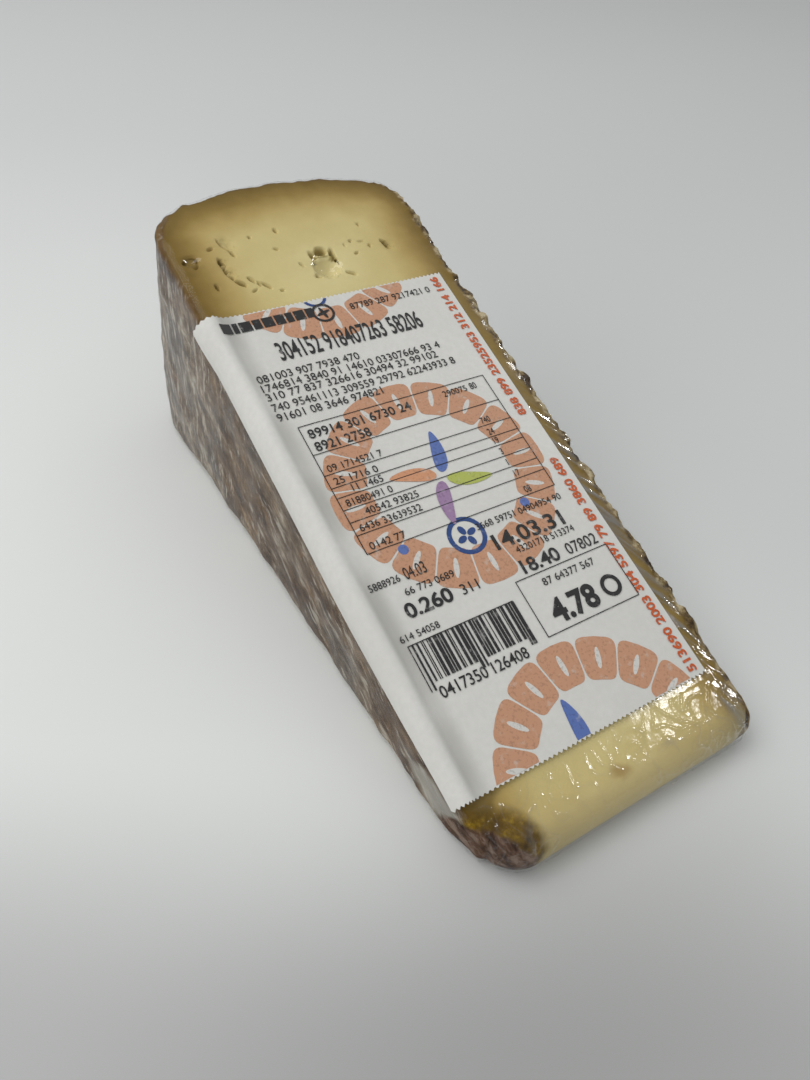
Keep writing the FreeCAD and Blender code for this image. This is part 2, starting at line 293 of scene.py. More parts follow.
cheese = {
    "voxel": 0.78 * mm,
    "fineCuts": 3,                  # how often a face is cut round an opening
    "underFilm": 0.35 * mm,         # how far its skin lies inside the solid's
    "rindLumps": 0.36 * mm,
    "bulge": 0.35 * mm,             # the left rind swells towards the rim
    "crust": 1.25 * mm,             # the bumps along the far crease
    "rimBumps": 0.4 * mm,           # the smaller ones along the rim's crease
    "dishing": 0.25 * mm,           # the cut face is not quite flat
    "cornerRound": (9.0 * mm, 14.5 * mm),       # the tip's left corner is worn round, seen from above
    "cutEnd": 126.8 * mm,           # the openings are placed from here, up the slope
    "pasteDepth": 28.0,             # its tones go by the depth under the rind, as a share of this in mm
    "paste": [
        (0.0, tone(92, 66, 22)), (0.035, tone(112, 88, 32)), (0.09, tone(126, 102, 44)),
        (0.17, tone(146, 121, 60)), (0.30, tone(182, 158, 96)), (0.48, tone(205, 188, 129)),
        (0.80, tone(213, 199, 144)),
    ],
    "rind": [                       # these and the next ones go by a noise's value
        (0.34, tone(44, 33, 24)), (0.43, tone(82, 67, 53)), (0.50, tone(107, 92, 76)),
        (0.56, tone(128, 115, 98)), (0.65, tone(174, 164, 149)),
    ],
    "crumbs": [
        (0.38, tone(60, 44, 24)), (0.46, tone(100, 80, 46)), (0.53, tone(140, 121, 82)),
        (0.62, tone(182, 166, 132)),
    ],
    "amber": [
        (0.34, tone(58, 38, 4)), (0.46, tone(90, 66, 6)), (0.55, tone(108, 82, 12)),
        (0.66, tone(150, 122, 28)),
    ],
    "worn": [(0.36, tone(50, 31, 20)), (0.5, tone(92, 67, 51)), (0.62, tone(130, 110, 96))],
    # openings in the paste, in mm: across, up from cutEnd, length across, length along, depth, turn
    "openings": [
        (0.2, 9.0, 2.0, 7.6, 2.4, 14), (3.2, 8.4, 1.7, 7.6, 2.6, -16), (1.7, 12.0, 2.6, 2.6, 2.2, 0),
        (1.6, 8.6, 3.0, 4.2, 1.1, 0), (-1.4, 6.0, 2.2, 1.5, 1.1, 20), (5.4, 5.0, 3.0, 1.2, 1.0, -32),
        (-18.9, 13.6, 1.2, 3.8, 1.9, 4), (-18.5, 10.6, 1.3, 3.8, 2.1, 12), (-17.3, 7.9, 1.2, 3.4, 1.8, 34),
        (-16.9, 18.2, 1.1, 4.0, 1.6, 22), (-15.9, 15.6, 0.9, 2.8, 1.2, 14), (-19.6, 17.4, 1.7, 0.9, 0.9, 20),
        (-24.6, 15.2, 3.4, 1.5, 1.5, 8), (-24.0, 14.1, 1.3, 2.6, 1.4, -10), (-22.1, 7.8, 0.9, 2.3, 1.3, 5),
        (16.6, 10.8, 1.1, 2.8, 1.6, 24), (13.2, 17.3, 0.8, 1.6, 0.9, 20),
        (-4.9, 19.4, 1.0, 1.7, 0.9, 0), (-6.9, 14.6, 1.5, 0.8, 0.8, -35), (-10.8, 18.8, 0.8, 1.0, 0.7, 0),
        (-15.0, 8.2, 0.8, 2.3, 0.9, 30), (-12.6, 6.0, 0.9, 2.9, 1.0, 32), (-13.9, 6.8, 0.7, 1.4, 0.8, 10),
        (-10.2, 4.2, 1.2, 0.8, 0.8, 0), (9.3, 13.2, 1.2, 0.9, 0.7, 0), (9.2, 9.8, 1.5, 0.8, 0.8, 20),
        (12.9, 11.1, 0.9, 1.3, 0.7, 0), (7.6, 12.4, 0.7, 1.5, 0.6, 0), (-15.4, 5.4, 1.7, 0.6, 0.8, 24),
        (-3.6, 9.4, 0.7, 2.4, 0.7, 26), (11.4, 12.6, 1.9, 0.6, 0.6, -8),
    ],
}


# how far the cheese's own skin stands off the smooth solid, apart from its openings
def relief(place, normal):
    across, along, lift = offSlope(place)
    depth = rindDepth(place)
    onRind = 1 - smooth(0.2 * mm, 1.6 * mm, depth)
    lumps = noise.noise(place / (6 * mm)) + 0.5 * noise.noise(place / (2.2 * mm))
    height = onRind * cheese["rindLumps"] * lumps
    height += cheese["bulge"] * smooth(0.3, 0.9, -normal.x) * smooth(15 * mm, 55 * mm, place.y)
    behindTip = smooth(-5 * mm, 25 * mm, place.y - wedgeLow.y)
    rightCrease = smooth(halfWidth - 3.2 * mm, halfWidth - 0.6 * mm, across) * smooth(-9 * mm, -1 * mm, lift)
    bumps = max(0.0, noise.noise(place / (3.0 * mm) + Vector((7, 3, 1))))
    bumps += 0.45 * noise.noise(place / (1.3 * mm))
    height += rightCrease * behindTip * cheese["crust"] * bumps
    atRim = smooth(6 * mm, 14 * mm, along - cheese["cutEnd"])
    rimCrease = onRind * smooth(-5 * mm, -0.6 * mm, lift) * atRim
    knobs = noise.noise(place / (2.1 * mm) + Vector((1, 8, 3))) + 0.5 * noise.noise(place / (1.0 * mm))
    height += rimCrease * cheese["rimBumps"] * knobs
    onCut = smooth(-1.5 * mm, -0.3 * mm, lift) * smooth(1 * mm, 5 * mm, depth)
    height += onCut * cheese["dishing"] * noise.noise(place / (13 * mm) + Vector((2, 9, 4)))
    return height


# draw the tip's left corner in to an ellipse, seen from above
def roundCorner(piece):
    wide, deep = cheese["cornerRound"]
    centre = Vector((-halfWidth + wide, wedgeLow.y + deep))
    for vertex in piece.data.vertices:
        u, v = (vertex.co.x - centre.x) / wide, (vertex.co.y - centre.y) / deep
        if u < 0 and v < 0:
            share = max(-u, -v) / math.hypot(u, v)
            vertex.co.x = centre.x + u * wide * share
            vertex.co.y = centre.y + v * deep * share
    piece.data.update()


# depth of the opening at a place on the cut face, 0 where there is none
def opened(place, margin=0.0):
    across, along, lift = offSlope(place)
    if lift < -0.6 * mm or along < cheese["cutEnd"]:
        return 0.0
    ragged = 0.2 * noise.noise(place / (1.1 * mm)) + 0.25 * noise.noise(place / (3.2 * mm))
    deepest = 0.0
    for x, up, wide, long, deep, turn in cheese["openings"]:
        side, ahead = across / mm - x, (along - cheese["cutEnd"]) / mm - up
        if abs(side) + abs(ahead) < wide + long + margin:
            c, s = math.cos(math.radians(turn)), math.sin(math.radians(turn))
            far = math.hypot((side * c + ahead * s) / (wide / 2 + margin),
                             (ahead * c - side * s) / (long / 2 + margin))
            deepest = max(deepest, 0.8 * deep * (1 - smooth(0.35, 1.05, far + ragged)))
    return deepest * mm


def makeCheese():
    piece = copyOfWedge("cheese")
    remesh(piece, cheese["voxel"])
    cutFiner(piece, cheese["fineCuts"], lambda place: opened(place, 0.7) > 0)
    storeValues(piece, "rindDepth", lambda place: rindDepth(place) / mm)
    # the openings' depth, which also sets their painted shade
    storeValues(piece, "sunk", lambda place: opened(place) / mm)
    storeValues(piece, "below", lambda place: -offSlope(place)[2] / mm)
    push(piece, lambda place, normal: relief(place, normal) - cheese["underFilm"] - opened(place))
    roundCorner(piece)
    return piece


# olive brown under the rind to straw yellow inside, with painted shade in the openings
def pasteTone(tree, place, ragged, depth):
    wandering = maths(tree, "ADD", depth, multiplyAdd(tree, noiseAt(tree, place, 260, 4), 2.6, -1.3))
    paste = ramp(tree, maths(tree, "DIVIDE", wandering, cheese["pasteDepth"]), cheese["paste"])
    cloudy = ranged(tree, noiseAt(tree, place, 70, 4, 0.6), 0.3, 0.7)
    paste = mixed(tree, cloudy, paste, mixed(tree, 1.0, paste, (0.93, 0.91, 0.86, 1), "MULTIPLY"))
    # painted shade: the paste is darkened towards the bottom of each opening
    sunk = ranged(tree, stored(tree, "sunk"), 0.1, 1.2)
    paste = mixed(tree, times(tree, sunk, 0.7), paste, tone(146, 122, 50))
    # painted light: the paste is made paler towards the front face
    front = ranged(tree, partOf(tree, place, "Y"), -64 * mm, -70.5 * mm, 0.0, 0.4)
    paste = mixed(tree, front, paste, tone(222, 211, 166))
    stain = blob(tree, ragged, onSlope(0, 26 * mm, 0), (3.0 * mm, 1.7 * mm, 2 * mm), 0.9)
    return mixed(tree, times(tree, stain, 0.6), paste, tone(140, 106, 48))


# grey brown with pale streaks, which stand upright at the rim's end and slant with the cut further down
def rindTone(tree, place, ragged, grain, fibres):
    rind = ramp(tree, fibres, cheese["rind"])
    patches = noiseAt(tree, grain, 85, 5, 0.6, stretch=(1, 0.6, 1), shift=(3, 1, 5))
    warm = mixed(tree, 1.0, rind, tone(216, 190, 156), "MULTIPLY")
    rind = mixed(tree, ranged(tree, patches, 0.44, 0.56, 0.0, 0.9), rind, warm)
    bluish = noiseAt(tree, place, 90, 3, 0.5, shift=(9, 4, 2))
    rind = mixed(tree, ranged(tree, bluish, 0.52, 0.62, 0.0, 0.35), rind, tone(114, 112, 108))
    upright = noiseAt(tree, place, 800, 5, 0.62, stretch=(1, 1, 0.26))
    slanting = noiseAt(tree, grain, 800, 5, 0.62, stretch=(1, 0.26, 1))
    heel = ranged(tree, partOf(tree, place, "Y"), -0.01, 0.035)
    streaks = multiplyAdd(tree, maths(tree, "SUBTRACT", upright, slanting), heel, slanting)
    rind = mixed(tree, ranged(tree, streaks, 0.53, 0.64, 0.0, 0.75), rind, tone(176, 169, 156))
    rind = mixed(tree, ranged(tree, streaks, 0.47, 0.36, 0.0, 0.65), rind, tone(54, 42, 32))
    pale = blob(tree, ragged, (-halfWidth, wedgeLow.y + 17 * mm, 6.5 * mm), (5 * mm, 9 * mm, 4.2 * mm))
    return mixed(tree, times(tree, pale, 0.85), rind, mixed(tree, 0.3, tone(178, 177, 168), rind))


def cheeseFinish():
    material, tree, shader = newMaterial("pasteAndRind")
    place = node(tree, "TexCoord").outputs["Object"]
    swirl = node(tree, "TexNoise", None, Vector=place, Scale=420, Detail=4).outputs["Color"]
    ragged = mixed(tree, 0.0022, place, swirl)
    depth = stored(tree, "rindDepth")
    below = stored(tree, "below")
    grain = turned(tree, place, 27)
    fibres = noiseAt(tree, grain, 240, 9, 0.74, stretch=(1.0, 0.42, 0.9))
    paste = pasteTone(tree, place, ragged, depth)
    rind = rindTone(tree, place, ragged, grain, fibres)
    tan = times(tree, ranged(tree, below, 2.6, 0.8), 0.7)       # a tan line just under the crease
    rind = mixed(tree, tan, rind, tone(110, 84, 46))

    # the crust along the far crease: pale crumbs and dark gaps
    crumbs = ramp(tree, noiseAt(tree, place, 420, 5, 0.62, shift=(2, 6, 1)), cheese["crumbs"])
    across = partOf(tree, ragged, "X")
    nearCut = ranged(tree, below, 4.5, 1.5)
    byCrease = times(tree, ranged(tree, across, 0.5 * halfWidth, halfWidth), nearCut)
    rind = mixed(tree, byCrease, rind, crumbs)
    edge = multiplyAdd(tree, noiseAt(tree, place, 500, 3), 1.2, maths(tree, "SUBTRACT", depth, 0.6))
    onRind = ranged(tree, edge, 0.62, 0.22)
    colour = mixed(tree, onRind, paste, rind)
    crusty = times(tree, ranged(tree, across, halfWidth - 1.6 * mm, halfWidth - 0.6 * mm), nearCut)
    colour = mixed(tree, crusty, colour, crumbs)

    # the worn corner of the tip: amber paste, then dull brown rind
    tip = Vector((wedgeLow.x, wedgeLow.y, 0))
    amber = blob(tree, ragged, tip + Vector((3.5, 3, 7)) * mm, (9.5 * mm, 9.5 * mm, 7.5 * mm), 0.25)
    amberTone = ramp(tree, noiseAt(tree, place, 330, 5, 0.62), cheese["amber"])
    colour = mixed(tree, times(tree, amber, 0.96), colour, amberTone)
    worn = blob(tree, ragged, tip + Vector((1.5, 3, 2)) * mm, (9.6 * mm, 13 * mm, 8.2 * mm), 0.1)
    wornTone = ramp(tree, noiseAt(tree, grain, 700, 6, 0.65, stretch=(1, 0.3, 1)), cheese["worn"])
    colour = mixed(tree, worn, colour, wornTone)
    tree.links.new(colour, shader.inputs["Base Color"])

    shader.inputs["Specular IOR Level"].default_value = 0.18     # the film has the shine
    tree.links.new(ranged(tree, onRind, 0.0, 1.0, 0.5, 0.8), shader.inputs["Roughness"])
    coarse = times(tree, fibres, ranged(tree, onRind, 0.0, 1.0, 0.1, 1.0))
    height = multiplyAdd(tree, noiseAt(tree, place, 900, 5, 0.6), 0.4, coarse)
    bump = node(tree, "Bump", None, Height=height, Strength=0.5, Distance=0.35 * mm)
    tree.links.new(bump.outputs[0], shader.inputs["Normal"])
    return material


settle(makeCheese(), "cheeseWedge", cheeseFinish(), portion["node"])


film = {
    "voxel": 0.9 * mm,
    "follows": 0.5,             # share of the rind's relief that it follows
    "cling": 0.2 * mm,          # a bump higher than this lifts it further
    "fineCuts": 3,              # how often faces are cut where it is creased
    "foldFrom": 0.12,           # they are cut where it is creased more than this
    "pleat": 0.15 * mm,         # height of the long pleats beside the label
    "pleatSlant": math.radians(27),
    "crinkle": 0.24 * mm,       # height of the creases round the tip
    "crinkleShine": 0.3,        # how much of a pleat's shine they have
    "shine": 0.032,             # how much it hides seen straight on, all over
    "grazing": (0.5, 4.5),      # how much more seen from the side, and how suddenly
    "foldShine": 0.6,           # how much more on a fold
    "onCrust": 0.05,            # what is left of its shine on the crust
    "onCrease": 0.25,           # and along the left crease
}


# thin crooked lines: 1 on a line, 0 away from it
def ridge(place, width):
    return max(0.0, 1 - abs(noise.noise(place)) / width) ** 2


# how much the film is creased at a place: pleats, crinkles
def creased(place):
    across, along, lift = offSlope(place)
    up = along - label["start"]
    beside = smooth(22.0 * mm, 24.0 * mm, across) * smooth(-9 * mm, -4 * mm, lift)
    pleats = beside * (1 - smooth(50 * mm, 72 * mm, up)) * (1 - 0.6 * smooth(-6 * mm, -14 * mm, up))
    tip = 1 - smooth(-4 * mm, 1.5 * mm, up)
    right = tip * smooth(0 * mm, 14 * mm, across)
    left = tip * smooth(-13 * mm, -20 * mm, across)
    return pleats, min(1.0, right + 0.8 * left + 0.4 * tip)


# height of the film's folds at a place, 0 to about 1: pleats, crinkles
def folds(place):
    across, along, lift = offSlope(place)
    up = along - label["start"]
    pleats, crinkles = creased(place)
    if pleats > 0:
        slantSin, slantCos = math.sin(film["pleatSlant"]), math.cos(film["pleatSlant"])
        down = across * slantSin - up * slantCos
        side = across * slantCos + up * slantSin
        line = Vector((side / (2.4 * mm), down / (26 * mm), lift / (8 * mm)))
        pleats *= ridge(line, 0.24) + 0.6 * ridge(line * 1.7 + Vector((5, 0, 2)), 0.26)
    if crinkles > 0:
        coarse = place / (5 * mm)
        warp = Vector((noise.noise(coarse), noise.noise(coarse + Vector((9, 0, 0))), 0))
        spot = place / (4.2 * mm) + 0.8 * warp
        crinkles *= ridge(spot, 0.10) + 0.6 * ridge(spot * 1.8 + Vector((3, 8, 1)), 0.12)
    return pleats, crinkles


# how far the film stands off the smooth solid, never up through the label
def filmLift(place, normal):
    height = relief(place, normal)
    height = max(film["follows"] * height, height - film["cling"])
    across, along, lift = offSlope(place)
    up = along - label["start"]
    pleats, crinkles = folds(place)
    height += pleats * film["pleat"] + crinkles * film["crinkle"]
    spare = 1 * mm
    besideLabel = across <= label["left"] or across >= label["right"] + spare
    if besideLabel or up <= -spare or up >= label["length"] + spare or lift <= -4 * mm:
        return height
    return min(height, 0.0)


# how much a place shines as a fold
def foldAt(place):
    pleats, crinkles = folds(place)
    return min(1.0, pleats + film["crinkleShine"] * crinkles)


def makeFilm():
    piece = copyOfWedge("film")
    remesh(piece, film["voxel"])
    cutFiner(piece, film["fineCuts"], lambda place: max(creased(place)) > film["foldFrom"])
    storeValues(piece, "fold", foldAt)
    push(piece, filmLift)
    roundCorner(piece)
    return piece


# a bright mirror that hides little of what is under it
def filmFinish():
    material, tree, shader = newMaterial("clearFilm")
    place = node(tree, "TexCoord").outputs["Object"]
    shader.inputs["Base Color"].default_value = (1, 1, 1, 1)
    shader.inputs["Metallic"].default_value = 1.0
    ripple = noiseAt(tree, place, 240, 3, 0.55)
    bump = node(tree, "Bump", None, Height=ripple, Strength=0.25, Distance=0.4 * mm)
    tree.links.new(bump.outputs[0], shader.inputs["Normal"])
    smudges = ranged(tree, noiseAt(tree, place, 150, 2), 0.3, 0.7, 0.05, 0.14)
    tree.links.new(smudges, shader.inputs["Roughness"])
    strength, sudden = film["grazing"]
    facing = node(tree, "LayerWeight", None, Blend=0.5, Normal=bump.outputs[0]).outputs["Facing"]
    alpha = multiplyAdd(tree, maths(tree, "POWER", facing, sudden), strength, film["shine"])
    alpha = multiplyAdd(tree, stored(tree, "fold"), film["foldShine"], alpha, clamp=True)
    across = partOf(tree, place, "X")
    crust = ranged(tree, across, halfWidth - 3.2 * mm, halfWidth - 1.6 * mm, 1.0, film["onCrust"])
    crease = times(tree, ranged(tree, across, -28.7 * mm, -28.2 * mm),
                   ranged(tree, across, -25.0 * mm, -26.4 * mm))
    slack = multiplyAdd(tree, crease, film["onCrease"] - 1, 1.0)
    tree.links.new(times(tree, times(tree, alpha, crust), slack), shader.inputs["Alpha"])
    return material


label = {
    "node": "price_label",
    "start": 31.0 * mm,         # its lower end, up the slope from the wheel's axis
    "length": 95.8 * mm,
    "left": -31.0 * mm,         # laid flat, with what is folded down the left rind
    "right": 23.6 * mm,
    "crease": -26.5 * mm,       # where the bend round the left crease starts
    "bend": 2.0 * mm,           # radius of that bend, under the paper
    "gap": 0.05 * mm,
    "paper": 0.13 * mm,
    "toothPitch": 0.95 * mm,
    "toothDepth": 0.5 * mm,
    "stepsPerTooth": 4,
    "rows": 120,
    "narrower": (2.1 * mm, 1.2 * mm),       # the folded strip is that much narrower at its lower, upper end
    "ridge": 0.65,              # height in mm of the loose crease along the fold
    "curl": 0.9,                # the folded edge stands off by that much in mm
    "tones": (tone(213, 211, 206), tone(207, 205, 200), tone(199, 197, 192)),
    "valley": tone(176, 174, 168),          # painted shade beside the loose crease
}


# how far the paper stands off the film
def paperRelief(across, up):
    a, u = across / mm, up / mm
    height = 0.09 * (noise.noise(Vector((a / 16, u / 22, 0))) + 0.6)
    wander = 0.8 * noise.noise(Vector((u / 17, 4, 0)))
    height += label["ridge"] * math.exp(-((a + 26.3 + 0.5 * wander) / 1.4) ** 2)
    ripple = 0.6 + noise.noise(Vector((u / 9, 8, 0)))
    height += 0.16 * math.exp(-((a + 18.5 + wander) / 2.0) ** 2) * ripple
    height += label["curl"] * smooth(-24, -31, a) * (0.35 + 0.65 * smooth(84, 94, u))
    height += 0.5 * smooth(-19, -29, a) * smooth(86, 95.8, u)
    return max(height, 0.0) * mm


# place on the paper, from its place on the sheet laid flat
def onLabel(across, up, lift=0.0):
    lift += label["gap"] + paperRelief(across, up)
    along = label["start"] + up
    if across > label["crease"]:
        return onSlope(across, along, lift)
    radius = label["bend"] + lift
    turn = (label["crease"] - across) / label["bend"]
    past = max(0.0, turn - math.pi / 2) * label["bend"]
    turn = min(turn, math.pi / 2)
    height = radius * math.cos(turn) - label["bend"] - past
    return onSlope(label["crease"] - radius * math.sin(turn), along, height)


def makePaper():
    width = label["right"] - label["left"]
    columns = label["stepsPerTooth"] * round(width / label["toothPitch"])
    bpy.ops.mesh.primitive_grid_add(x_subdivisions=columns, y_subdivisions=label["rows"], size=1)
    piece = bpy.context.object
    piece.data.transform(Matrix.Diagonal((width, label["length"], 1, 1)))
    piece.data.transform(Matrix.Translation((label["left"] + width / 2, label["length"] / 2, 0)))
    blend = 1.5 * mm            # the teeth fade out this far from the ends
    for vertex in piece.data.vertices:
        across, up = vertex.co.x, vertex.co.y
        lower, upper = label["narrower"]
        narrowing = lower * (1 - smooth(0, 40 * mm, up)) + upper * smooth(86 * mm, 95 * mm, up)
        across += narrowing * smooth(label["crease"] + 2 * mm, label["left"], across)
        step = ((label["right"] - vertex.co.x) / label["toothPitch"]) % 1
        notch = label["toothDepth"] * (1 - abs(2 * step - 1))
        up += notch * (max(0.0, 1 - up / blend) - max(0.0, 1 - (label["length"] - up) / blend))
        vertex.co = onLabel(across, up, label["paper"])
    solid = piece.modifiers.new("Thickness", "SOLIDIFY")
    solid.thickness = label["paper"]
    solid.offset = -1
    applyModifiers(piece)
    return piece


def paperFinish():
    material, tree, shader = newMaterial("labelPaper")
    place = node(tree, "TexCoord").outputs["Object"]
    soft = ranged(tree, noiseAt(tree, place, 45, 3), 0.3, 0.7)
    fibre = ranged(tree, noiseAt(tree, place, 900, 4, 0.6), 0.35, 0.65)
    plain, cloud, fleck = label["tones"]
    colour = mixed(tree, soft, plain, cloud)
    colour = mixed(tree, times(tree, fibre, 0.35), colour, fleck)
    across = partOf(tree, place, "X")
    # painted shade in the hollow beside the loose crease, uneven along it
    valley = times(tree, ranged(tree, across, -26.2 * mm, -24.9 * mm),
                   ranged(tree, across, -21 * mm, -24 * mm))
    uneven = ranged(tree, noiseAt(tree, place, 40, 2, shift=(0, 3, 0)), 0.35, 0.6, 0.25, 1.0)
    colour = mixed(tree, times(tree, valley, uneven), colour, label["valley"])
    tree.links.new(colour, shader.inputs["Base Color"])
    shader.inputs["Roughness"].default_value = 0.55
    bump = node(tree, "Bump", None, Height=fibre, Strength=0.12, Distance=0.1 * mm)
    tree.links.new(bump.outputs[0], shader.inputs["Normal"])
    return material


settle(makeFilm(), "film", filmFinish())
settle(makePaper(), "labelPaper", paperFinish(), label["node"], 35)


# what is printed on the label: plain marks, numbers and rosettes, in mm on the sheet laid flat
inks = {
    "salmon": tone(192, 142, 110),
    "white": tone(206, 202, 196),
    "blue": tone(84, 108, 172),
    "navy": tone(28, 66, 128),
    "lime": tone(172, 180, 84),
    "orange": tone(204, 144, 106),
    "purple": tone(152, 120, 158),
    "margin": tone(196, 84, 22),
    "black": tone(38, 37, 38),
}
printing = {
    "lift": 0.045,              # the first ink's face over the paper's
    "step": 0.012,              # each ink lies a little over the one before
    "thick": 0.03,
    "facet": 1.2,               # the print is cut this fine, to follow the paper
    "seed": 11,
    "specks": 0.55,             # how dark the specks in the inks are
    "rubbed": 0.35,             # how pale they are where they are rubbed
    "underneath": tone(200, 198, 194),
}
rosette = {
    "inner": 14.0, "outer": 21.6, "petals": 16, "gap": 0.3,
    "places": [(-1.6, 50.6), (-3.6, 107.0), (-0.6, -6.0)],
    "leaf": (4.3, 1.5),         # half lengths of the four leaves in the middle
    "curl": 2.0,
    "leafPlaces": [(-1.6, 51.0, 62), (-4.6, -2.6, 75)],
}
printed = {colour: [] for colour in inks}
stamps = {}


# a copy of a flat shape, put in its place on the sheet
def stamp(colour, shape, matrix):
    if shape not in stamps:
        deselectAll()
        if shape == "square":
            bpy.ops.mesh.primitive_plane_add(size=1)
        else:
            bpy.ops.mesh.primitive_circle_add(vertices=28, radius=1, fill_type="NGON")
        stamps[shape] = bpy.context.object
    piece = bpy.data.objects.new(shape, stamps[shape].data.copy())
    piece.data.transform(matrix)
    bpy.context.collection.objects.link(piece)
    printed[colour].append(piece)
    return piece


def block(colour, left, low, wide, tall):
    place = Matrix.Translation((left + wide / 2, low + tall / 2, 0))
    stamp(colour, "square", place @ Matrix.Diagonal((wide, tall, 1, 1)))


def disc(colour, across, up, wide, tall=None, turn=0.0):
    place = Matrix.Translation((across, up, 0)) @ Matrix.Rotation(math.radians(turn), 4, "Z")
    return stamp(colour, "disc", place @ Matrix.Diagonal((wide, tall or wide, 1, 1)))


def ring(colour, across, up, outer, thick):
    piece = disc(colour, 0, 0, outer)
    makeActive(piece)
    bpy.ops.object.mode_set(mode="EDIT")
    bpy.ops.mesh.select_all(action="SELECT")
    bpy.ops.mesh.inset(thickness=thick)
    bpy.ops.mesh.delete(type="FACE")
    bpy.ops.object.mode_set(mode="OBJECT")
    piece.data.transform(Matrix.Translation((across, up, 0)))


# plain figures with their lower left corner at left, low; stretched to reach right, if that is given
def number(text, left, low, tall, narrow=0.72, heavy=0.0, right=None, colour="black", turn=0):
    deselectAll()
    bpy.ops.object.text_add()
    writing = bpy.context.object
    writing.data.body = text
    writing.data.offset = heavy
    writing.data.resolution_u = 6 if tall > 2 else 3
    bpy.ops.object.convert(target="MESH")
    figure = bpy.context.object
    corners = [v.co for v in figure.data.vertices]
    scale = tall / max(c.y for c in corners)
    first, last = min(c.x for c in corners), max(c.x for c in corners)
    wide = (right - left) / (last - first) if right else scale * narrow
    figure.data.transform(Matrix.Diagonal((wide, scale, 1, 1)) @ Matrix.Translation((-first, 0, 0)))
    figure.data.transform(Matrix.Rotation(math.radians(turn), 4, "Z"))
    figure.data.transform(Matrix.Translation((left, low, 0)))
    printed[colour].append(figure)


# a row of small plain figures
def smallPrint(left, right, low, tall, heavy=0.0):
    count = round((right - left) / (0.66 * tall))
    number(plainFigures(count), left, low, tall, heavy=heavy, right=right)


# that many random figures and spaces, grouped like words
def plainFigures(count):
    text = ""
    while len(text) < count:
        text += "".join(random.choice("0123456789") for _ in range(random.randint(2, 8))) + " "
    return text[:count].strip()


# blunt petals side by side, each with a pale mark in it
def petalRing(across, up):
    middle = (rosette["inner"] + rosette["outer"]) / 2
    half = (rosette["outer"] - rosette["inner"]) / 2
    step = 2 * math.pi / rosette["petals"]
    for index in range(rosette["petals"]):
        petal = disc("salmon", 0, 0, 1)
        for vertex in petal.data.vertices:
            out, side = [math.copysign(abs(c) ** 0.4, c) for c in (vertex.co.x, vertex.co.y)]
            reach = middle + half * out
            angle = index * step + side * (step / 2 - rosette["gap"] / 2 / reach)
            vertex.co = (across + reach * math.cos(angle), up + reach * math.sin(angle), 0)
        angle = index * step
        mark = (across + middle * math.cos(angle), up + middle * math.sin(angle))
        disc("white", *mark, 1.9, 0.5, math.degrees(angle))


# four leaves in a cross, each a little curled
def leaves(across, up, turn):
    long, wide = rosette["leaf"]
    for index, colour in enumerate(("blue", "orange", "purple", "lime")):
        angle = math.radians(turn + 90 * index)
        leaf = disc(colour, 0, 0, long, wide)
        for vertex in leaf.data.vertices:
            share = (vertex.co.x / long + 1) / 2
            vertex.co.y = vertex.co.y * (1.15 - 0.5 * share) + rosette["curl"] * share ** 2
        leaf.data.transform(Matrix.Translation((long + 1.0, 0, 0)))
        leaf.data.transform(Matrix.Translation((across, up, 0)) @ Matrix.Rotation(angle, 4, "Z"))


